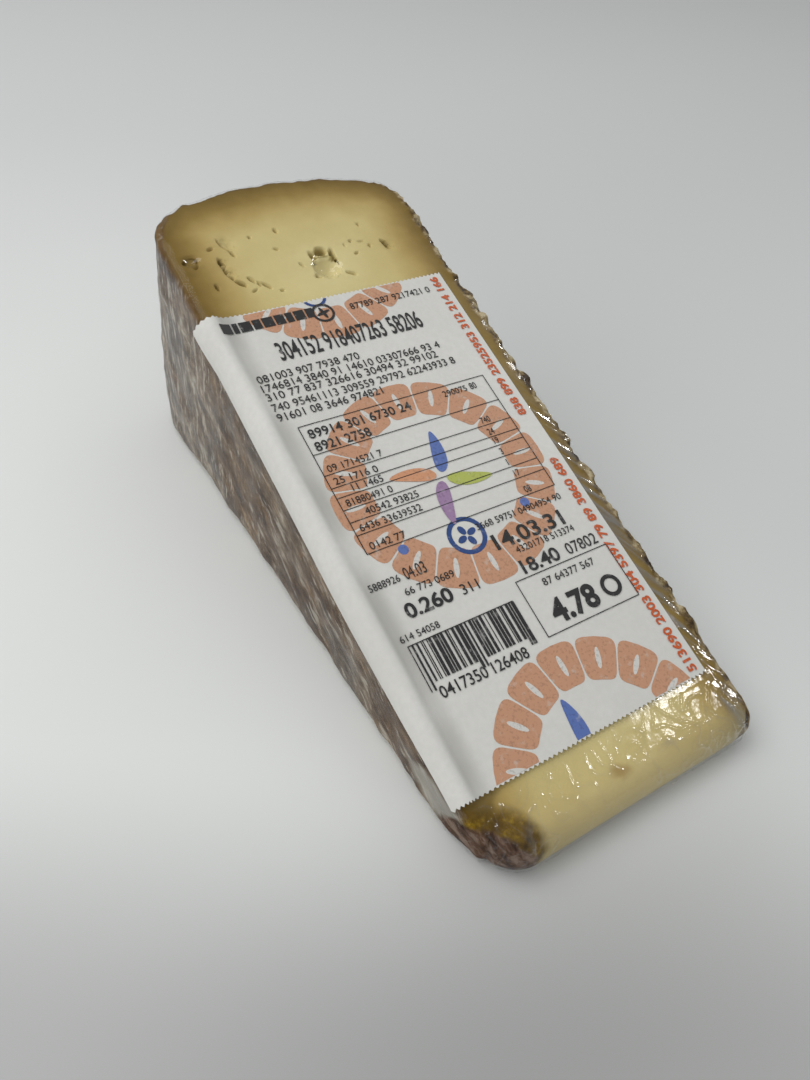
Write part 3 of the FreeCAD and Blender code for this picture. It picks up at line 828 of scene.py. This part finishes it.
def layOut():
    random.seed(printing["seed"])
    for across, up in rosette["places"]:
        petalRing(across, up)
    for across, up, turn in rosette["leafPlaces"]:
        leaves(across, up, turn)
    ring("navy", -3.4, 38.9, 3.7, 0.85)
    for turn in (0, 90, 180, 270):
        badge = math.radians(turn + 20)
        disc("navy", -3.4 + 1.25 * math.cos(badge), 38.9 + 1.25 * math.sin(badge), 0.95, 0.6, turn + 20)
    ring("navy", -5.6, 96.2, 2.6, 0.6)
    for across, up in ((-15.4, 40.6), (10.6, 40.9)):
        disc("blue", across, up, 0.95, turn=45)

    across = -26.0                                       # the heavy strip at the top
    for wide in (2.0, 1.0, 2.3, 1.6, 2.2, 1.9, 1.4, 2.1, 1.6):
        block("black", across, 91.4, wide, 2.3)
        across += wide + 0.34
    ring("black", -5.4, 91.9, 2.3, 0.5)
    for turn in (15, 105):
        disc("black", -5.4, 91.9, 1.5, 0.35, turn)
    smallPrint(0.5, 19, 91.2, 1.5)
    number("304152 918407263 58206", -18.0, 83.3, 4.2, heavy=0.012, right=13.0)
    for right, low in ((-3.5, 79.6), (13.5, 77.5), (11.8, 75.5), (14.6, 73.1), (-3.0, 70.9)):
        smallPrint(-24.3, right, low, 1.65)

    for side in (-21.7, 18.3):                           # the table
        block("black", side - 0.08, 42.0, 0.16, 26.8)
    rows = (68.8, 62.6, 58.1, 55.4, 53.3, 50.8, 48.3, 45.7, 42.0)
    for low in rows:
        block("black", -21.7, low - 0.07, 40.0, 0.14)
    smallPrint(-20.6, 0.5, 65.9, 1.9, 0.01)
    smallPrint(-20.6, -9.5, 63.1, 1.9, 0.01)
    smallPrint(8.0, 13.4, 66.4, 1.35)
    number("80", 14.2, 66.4, 1.5)
    amounts = ("740", "24", "19", "3", "1", "17", "08")
    for index, amount in enumerate(amounts):
        low = rows[index + 2] + 0.45
        inset = 2.4 if index in (2, 4) else 0.0
        smallPrint(-20.6 + inset, -20.6 + inset + random.uniform(6, 13), low, 1.4)
        number(amount, 12.0, low, 1.4)

    smallPrint(-1.0, 18.0, 39.0, 1.3)                    # dates, weight and prices
    number("14.03.31", 0.4, 34.3, 3.0, heavy=0.02, right=15.8)
    smallPrint(3.5, 16.6, 32.4, 1.3)
    number("18.40", 2.6, 28.5, 2.6, heavy=0.018, right=10.8)
    smallPrint(12.6, 19.6, 28.6, 2.2)
    smallPrint(-24.4, -18.6, 35.6, 1.3)
    number("04.03", -17.6, 35.4, 2.2, 0.62)
    smallPrint(-19.0, -9.4, 32.9, 1.3)
    number("0.260", -20.6, 29.2, 2.6, heavy=0.024, right=-11.6)
    smallPrint(-9.8, -6.4, 29.3, 1.9)
    smallPrint(-23.8, -16.4, 25.9, 1.2)

    across = -23.2                                       # the bars, with plain figures below
    block("black", -23.2, 25.0, 20.8, 0.16)
    while across < -2.7:
        wide = random.choice((0.17, 0.17, 0.34, 0.34, 0.52, 0.68))
        guard = across < -22.3 or across > -3.6 or abs(across + 12.8) < 0.6
        block("black", across, 17.0 if guard else 18.3, wide, 8.0 if guard else 6.7)
        across += wide + random.choice((0.17, 0.17, 0.34, 0.5))
    number("0417350", -22.0, 15.4, 2.0, 0.9, 0.006)
    number("126408", -12.0, 15.4, 2.0, 0.9, 0.006)

    for low in (17.0, 27.8):                             # the price box
        block("black", 0.0, low - 0.08, 20.6, 0.16)
    for side in (0.0, 20.6):
        block("black", side - 0.08, 17.0, 0.16, 10.8)
    smallPrint(4.7, 16.3, 25.2, 1.4)
    number("4.78", 3.0, 18.4, 4.3, heavy=0.034, right=13.0)
    ring("black", 16.6, 20.6, 2.1, 0.75)
    for low, high in ((1.2, 47.3), (57.8, 94.7)):        # up the right margin
        number(plainFigures(round((high - low) / 1.3)), 22.2, low, 1.75, heavy=0.03,
               right=22.2 + high - low, colour="margin", turn=90)


# dark specks and rubbed places in an ink
def makeInkGrain():
    group, taken, shade = newGroup("inkGrain", [
        ("Place", "Vector", (0, 0, 0)), ("Ink", "Color", (0, 0, 0, 1)), ("Underneath", "Color", (1, 1, 1, 1)),
        ("Specks", "Float", 0.5), ("Rubbed", "Float", 0.5),
    ], "Shade", "Color")
    specks = ranged(group, noiseAt(group, taken["Place"], 1900, 2, 0.6), 0.52, 0.66)
    rubbed = ranged(group, noiseAt(group, taken["Place"], 620, 4, 0.65), 0.56, 0.74)
    dark = mixed(group, 1.0, taken["Ink"], (0.62, 0.62, 0.62, 1), "MULTIPLY")
    colour = mixed(group, times(group, specks, taken["Specks"]), taken["Ink"], dark)
    colour = mixed(group, times(group, rubbed, taken["Rubbed"]), colour, taken["Underneath"])
    group.links.new(colour, shade)
    return group


inkGrain = makeInkGrain()


def inkFinish(colour):
    material, tree, shader = newMaterial(colour + "Ink")
    place = node(tree, "TexCoord").outputs["Object"]
    grain = node(tree, "Group", {"node_tree": inkGrain}, Place=place, Ink=inks[colour],
                 Underneath=printing["underneath"], Specks=printing["specks"], Rubbed=printing["rubbed"])
    tree.links.new(grain.outputs[0], shader.inputs["Base Color"])
    shader.inputs["Roughness"].default_value = 0.6
    return material


# join what one ink prints, cut it fine and lay it on the paper
def makePrint(colour, lift):
    pieces = printed[colour]
    deselectAll()
    for piece in pieces:
        piece.select_set(True)
    bpy.context.view_layer.objects.active = pieces[0]
    bpy.ops.object.join()
    sheet = bpy.context.object
    bpy.ops.object.mode_set(mode="EDIT")
    length = label["length"] / mm
    depth = label["toothDepth"] / mm
    for low, up in ((depth, -1), (length - depth, 1)):
        bpy.ops.mesh.select_all(action="SELECT")
        bpy.ops.mesh.bisect(plane_co=(0, low, 0), plane_no=(0, up, 0), clear_outer=True)
    facet = printing["facet"]
    cuts = [((index * facet, 0, 0), (1, 0, 0)) for index in range(-22, 20)]
    cuts += [((0, index * facet, 0), (0, 1, 0)) for index in range(1, round(length / facet))]
    for place, direction in cuts:
        bpy.ops.mesh.select_all(action="SELECT")
        bpy.ops.mesh.bisect(plane_co=place, plane_no=direction)
    bpy.ops.object.mode_set(mode="OBJECT")
    for vertex in sheet.data.vertices:
        vertex.co = onLabel(vertex.co.x * mm, vertex.co.y * mm, label["paper"] + lift * mm)
    solid = sheet.modifiers.new("Thickness", "SOLIDIFY")
    solid.thickness = printing["thick"] * mm
    solid.offset = -1
    applyModifiers(sheet)
    return sheet


layOut()
print("laid out", sum(len(pieces) for pieces in printed.values()), "printed shapes")
for order, colour in enumerate(inks):
    sheet = makePrint(colour, printing["lift"] + order * printing["step"])
    settle(sheet, colour + "Print", inkFinish(colour), angle=35)
for shape in stamps.values():
    bpy.data.objects.remove(shape)


floorLook = {
    "plain": (tone(220, 221, 219), tone(225, 226, 224)),
    # painted shade: the board is darker to the right, at the back and towards the front
    "right": tone(200, 201, 200),
    "far": tone(206, 206, 206),
    "near": tone(179, 179, 178),
    # soft shade in front of the tip: place, size, strength, tone
    "shade": [
        ((0.0, -0.078, 0), (0.055, 0.028, 1), 0.25, tone(158, 158, 156)),
        ((-0.045, -0.095, 0), (0.10, 0.05, 1), 0.35, tone(104, 104, 102)),
    ],
}


def makeFloor():
    bpy.ops.mesh.primitive_plane_add(size=6)
    floor = bpy.context.object
    floor.name = "floor"
    material, tree, shader = newMaterial("board")
    place = node(tree, "TexCoord").outputs["Object"]
    x = partOf(tree, place, "X")
    y = partOf(tree, place, "Y")
    soft = ranged(tree, noiseAt(tree, place, 6, 2), 0.3, 0.7)
    colour = mixed(tree, soft, *floorLook["plain"])
    # painted shade: darker to the right, at the back and towards the front
    colour = mixed(tree, ranged(tree, x, -0.04, 0.10), colour, floorLook["right"])
    colour = mixed(tree, ranged(tree, y, 0.05, 0.30), colour, floorLook["far"])
    nearer = multiplyAdd(tree, x, -0.523, times(tree, y, -0.849))
    colour = mixed(tree, ranged(tree, nearer, 0.05, 0.095), colour, floorLook["near"])
    for centre, size, strength, dark in floorLook["shade"]:
        patch = blob(tree, place, centre, size, 1.0)
        colour = mixed(tree, times(tree, patch, strength), colour, dark)
    tree.links.new(colour, shader.inputs["Base Color"])
    shader.inputs["Roughness"].default_value = 0.6
    floor.data.materials.append(material)


# each lamp: place, what it is turned to, size, power; only the film's creases show the two small ones
lamps = {
    "skylight": ((-0.35, 0.35, 0.75), (0, 0, 0), (0.6, 0.6), 3.0),
    "leftSoft": ((-0.75, 0.0, 0.42), (0, 0, 0), (0.5, 0.5), 1.15),
    "sparkleRight": ((0.6, 0.2, 0.52), (0, 0, 0.02), (0.05, 0.22), 1.2),
    "sparkleFront": ((0.45, -0.26, 0.55), (0, -0.06, 0.02), (0.04, 0.04), 0.16),
}
room = {
    "sky": tone(205, 207, 207),
    "strength": 0.98,
    "dimmer": 0.65,             # by how much it is dimmer in mirrors, so that the film stays clear
}
view = {
    "from": Vector((-71.9, -101.4, 119.1)) * mm,
    "along": Vector((0.42221, 0.58858, -0.68942)),
    "up": Vector((0.31739, 0.61641, 0.72063)),
    "lens": 27.0,
    "sensor": 36,
}


def makeLamp(name, place, target, size, power):
    lamp = bpy.data.lights.new(name, "AREA")
    lamp.energy = power
    lamp.shape = "RECTANGLE"
    lamp.size, lamp.size_y = size
    holder = bpy.data.objects.new(name, lamp)
    bpy.context.collection.objects.link(holder)
    holder.location = place
    holder.rotation_euler = (Vector(target) - Vector(place)).to_track_quat("-Z", "Y").to_euler()
    holder.visible_diffuse = not name.startswith("sparkle")
    holder.visible_glossy = name != "leftSoft"


def makeRoom():
    world = bpy.data.worlds.new("room")
    world.use_nodes = True
    tree = world.node_tree
    sky = tree.nodes["Background"]
    sky.inputs["Color"].default_value = room["sky"]
    glossy = node(tree, "LightPath").outputs["Is Glossy Ray"]
    strength = multiplyAdd(tree, glossy, -room["dimmer"], room["strength"])
    tree.links.new(strength, sky.inputs["Strength"])
    bpy.context.scene.world = world


def makeCamera():
    camera = bpy.data.objects.new("camera", bpy.data.cameras.new("camera"))
    bpy.context.collection.objects.link(camera)
    camera.data.lens = view["lens"]
    camera.data.sensor_width = view["sensor"]
    camera.data.clip_start = 5 * mm
    right = view["along"].cross(view["up"]).normalized()
    upright = right.cross(view["along"]).normalized()
    turn = Matrix((right, upright, -view["along"])).transposed()
    camera.matrix_world = Matrix.Translation(view["from"]) @ turn.to_4x4()
    bpy.context.scene.camera = camera


makeFloor()
for name, lamp in lamps.items():
    makeLamp(name, *lamp)
makeRoom()
makeCamera()
bpy.context.scene.view_settings.view_transform = "Standard"
print("set the floor, the lamps and the camera")
